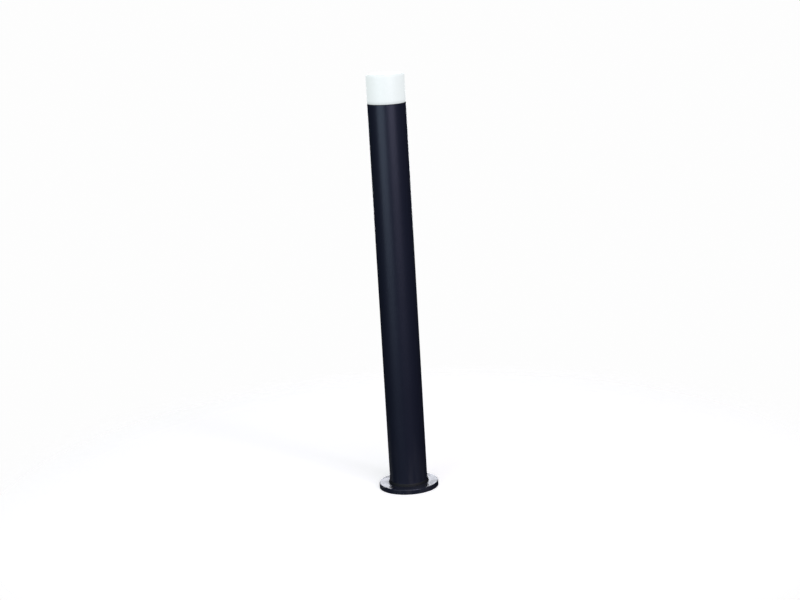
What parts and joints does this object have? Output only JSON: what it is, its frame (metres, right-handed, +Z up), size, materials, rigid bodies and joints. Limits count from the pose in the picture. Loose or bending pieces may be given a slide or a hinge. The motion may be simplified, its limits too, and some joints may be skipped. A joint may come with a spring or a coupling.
{
  "type": "retractable bollard",
  "caption": "Retractable round bollard with a frosted lit crown and a thin ground flange, over an in-ground casing with guide, gas spring and key lock.",
  "frame": {"origin": "on the post's axis at ground level, the underside of the ground flange", "axes": "+Z up along the post; the front is -Y; the lock and its key socket are at the rear, +Y"},
  "size_m": [0.1704, 0.1704, 1.934],
  "materials": {
    "powder_coat": "satin blue-black powder coat",
    "opal": "frosted opal acrylic",
    "seal_rubber": "matt black rubber",
    "stainless": "brushed stainless steel",
    "black_screw": "black oxide screws",
    "galvanised": "hot-dip galvanised steel",
    "cast_aluminium": "machined cast aluminium",
    "acetal": "natural acetal",
    "black_acetal": "black acetal",
    "buffer_rubber": "dense black rubber",
    "spring_steel": "bright steel",
    "cylinder_paint": "black gas spring paint",
    "chromed_rod": "hard chromed rod",
    "gland_brass": "plain brass",
    "cable_jacket": "black cable jacket",
    "board_mask": "white solder mask",
    "led_phosphor": "yellow phosphor"
  },
  "bodies": {
    "root": {"casing_tube": "galvanised", "base_plate": "galvanised", "drain_spigot": "galvanised", "conduit_adaptor": "gland_brass", "conduit_locknut": "gland_brass", "conduit_grommet": "buffer_rubber", "anchor_lugs": "galvanised", "flange_lugs": "galvanised", "guide_rail_right": "galvanised", "guide_rail_left": "galvanised", "lowering_buffers": "buffer_rubber", "ground_flange": "powder_coat", "flange_screws": "black_screw", "wiper_seal": "seal_rubber", "guide_housing": "cast_aluminium", "upper_guide_ring": "acetal", "lower_guide_ring": "acetal", "guide_screws": "stainless", "housing_bottom_plate": "stainless", "bottom_plate_screws": "stainless", "cover_pivot_screw": "black_screw", "gas_spring_clevis": "galvanised", "lower_pin": "stainless", "lower_pin_clip": "spring_steel", "rod_eye": "spring_steel", "gas_spring_rod": "chromed_rod", "gas_spring_piston": "cast_aluminium", "spiral_cable": "cable_jacket"},
    "post": {"post_tube": "powder_coat", "guide_shoe": "black_acetal", "upstop_ring": "buffer_rubber", "shoe_screws": "stainless", "gas_spring_cylinder": "cylinder_paint", "gas_spring_gland": "spring_steel", "cylinder_eye": "spring_steel", "upper_pin": "stainless", "upper_pin_clip": "spring_steel", "head_plug": "cast_aluminium", "head_plug_screws": "black_screw", "cable_bracket": "black_acetal", "bracket_screws": "black_screw", "lamp_cable": "cable_jacket", "led_board": "board_mask", "led_chips": "led_phosphor", "board_screws": "stainless", "crown_gasket": "seal_rubber", "opal_crown": "opal", "crown_screws": "black_screw"},
    "key": {"key_spindle": "stainless", "key_socket": "stainless", "drive_pin": "stainless"},
    "bolt": {"locking_bolt": "stainless"},
    "cover": {"key_cover": "powder_coat"}
  },
  "joints": [
    {"name": "post_lift", "type": "slide", "parent": "root", "child": "post", "axis": [0, 0, 1], "range_m": [-0.825, 0], "stiffness_N_per_m": 72.7, "springref_m": 2.063, "deforming": ["spiral_cable"]},
    {"name": "key_turn", "type": "hinge", "parent": "root", "child": "key", "pos_m": [0.01, 0.04565, 0], "axis": [0, 0, 1], "range_deg": [0, 90]},
    {"name": "bolt_slide", "type": "slide", "parent": "root", "child": "bolt", "axis": [0, -1, 0], "range_m": [0, 0.00628]},
    {"name": "cover_swing", "type": "hinge", "parent": "root", "child": "cover", "pos_m": [-0.00816, 0.04804, 0], "axis": [0, 0, 1], "range_deg": [0, 100]}
  ],
  "couplings": [
    {"joint": "key_turn", "follows": "bolt_slide", "rad_per_m": 250}
  ]
}
